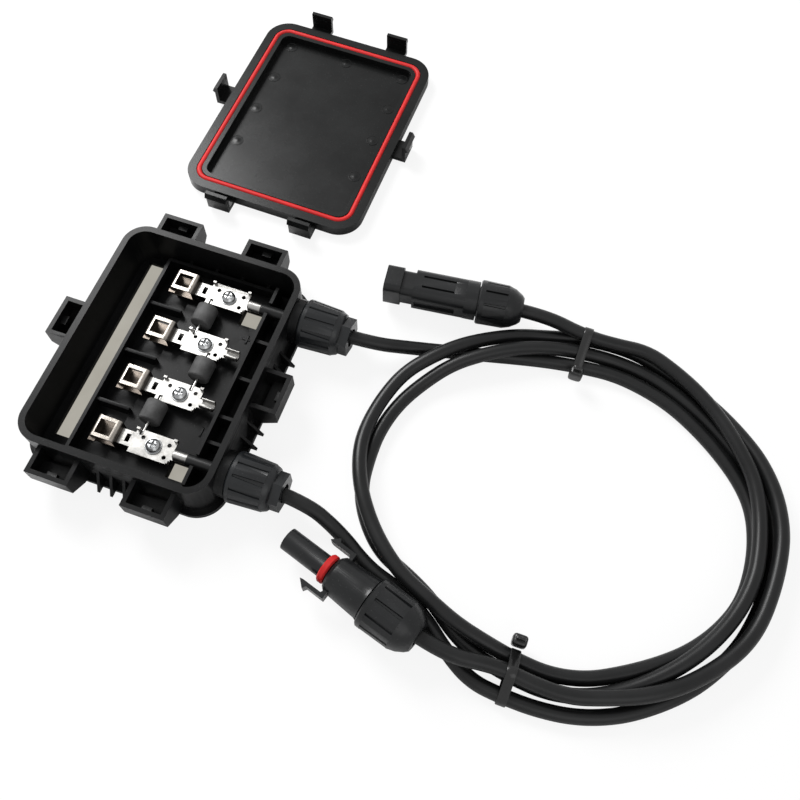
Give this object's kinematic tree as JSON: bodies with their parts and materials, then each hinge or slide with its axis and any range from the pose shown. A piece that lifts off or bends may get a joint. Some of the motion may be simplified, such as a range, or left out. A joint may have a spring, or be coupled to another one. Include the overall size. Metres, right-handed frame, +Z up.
{
  "type": "solar panel junction box",
  "caption": "Open rectangular junction box with clamp rails, bypass diodes and cable glands, cover beside it, coiled leads ending in plug couplers.",
  "frame": {"origin": "centre of the box on the underside of its floor", "axes": "+X towards the cable glands, +Y towards the cover lying beside the box, +Z up out of the open box"},
  "size_m": [0.3028, 0.288, 0.022],
  "materials": {
    "black_plastic": "satin moulded",
    "red_silicone": "matte",
    "tinned_metal": "tin plated",
    "clamp_steel": "satin",
    "screw_steel": "zinc plated",
    "diode_epoxy": "moulded",
    "lead_wire": "tinned",
    "nut_plastic": "satin",
    "black_rubber": "matte",
    "cable_jacket": "satin",
    "plug_plastic": "satin",
    "tie_nylon": "smooth"
  },
  "bodies": {
    "box": {"base_box": "black_plastic", "lid_cover": "black_plastic", "lid_gasket": "red_silicone", "contact_rail_1": "tinned_metal", "ribbon_clamp_1": "clamp_steel", "rail_screw_1": "screw_steel", "contact_rail_2": "tinned_metal", "ribbon_clamp_2": "clamp_steel", "rail_screw_2": "screw_steel", "contact_rail_3": "tinned_metal", "ribbon_clamp_3": "clamp_steel", "rail_screw_3": "screw_steel", "contact_rail_4": "tinned_metal", "ribbon_clamp_4": "clamp_steel", "rail_screw_4": "screw_steel", "diode_body_1": "diode_epoxy", "diode_leads_1": "lead_wire", "diode_body_2": "diode_epoxy", "diode_leads_2": "lead_wire", "diode_body_3": "diode_epoxy", "diode_leads_3": "lead_wire", "gland_seal_1": "black_rubber", "cable_core_1": "cable_jacket", "cable_wire_1": "lead_wire", "gland_seal_2": "black_rubber", "cable_core_2": "cable_jacket", "cable_wire_2": "lead_wire", "socket_plug_housing": "plug_plastic", "socket_plug_contact": "lead_wire", "socket_plug_seal": "black_rubber", "pin_plug_housing": "plug_plastic", "pin_plug_contact": "lead_wire", "pin_plug_seal": "black_rubber", "pin_plug_ring": "red_silicone", "cord_1_lead": "cable_jacket", "cord_2_lead": "cable_jacket", "cord_1_tail": "cable_jacket", "cord_2_tail": "cable_jacket", "cord_coil": "cable_jacket", "cable_tie_1": "tie_nylon", "cable_tie_2": "tie_nylon"},
    "gland_nut_1_body": {"gland_nut_1": "nut_plastic"},
    "gland_nut_2_body": {"gland_nut_2": "nut_plastic"},
    "socket_plug_nut_body": {"socket_plug_nut": "plug_plastic"},
    "pin_plug_nut_body": {"pin_plug_nut": "plug_plastic"}
  },
  "joints": [
    {"name": "gland_nut_1_turn", "type": "hinge", "parent": "box", "child": "gland_nut_1_body", "pos_m": [0.05, 0.036, 0.011], "axis": [1, 0, 0], "range_deg": [0, 340]},
    {"name": "gland_nut_2_turn", "type": "hinge", "parent": "box", "child": "gland_nut_2_body", "pos_m": [0.05, -0.036, 0.011], "axis": [1, 0, 0], "range_deg": [0, 340]},
    {"name": "socket_plug_nut_turn", "type": "hinge", "parent": "box", "child": "socket_plug_nut_body", "pos_m": [0.11278, 0.07217, 0.0096], "axis": [0.9928, 0.1197, 0], "range_deg": [0, 340]},
    {"name": "pin_plug_nut_turn", "type": "hinge", "parent": "box", "child": "pin_plug_nut_body", "pos_m": [0.11271, -0.0643, 0.0109], "axis": [0.9527, -0.3024, 0.0309], "range_deg": [0, 340]}
  ]
}
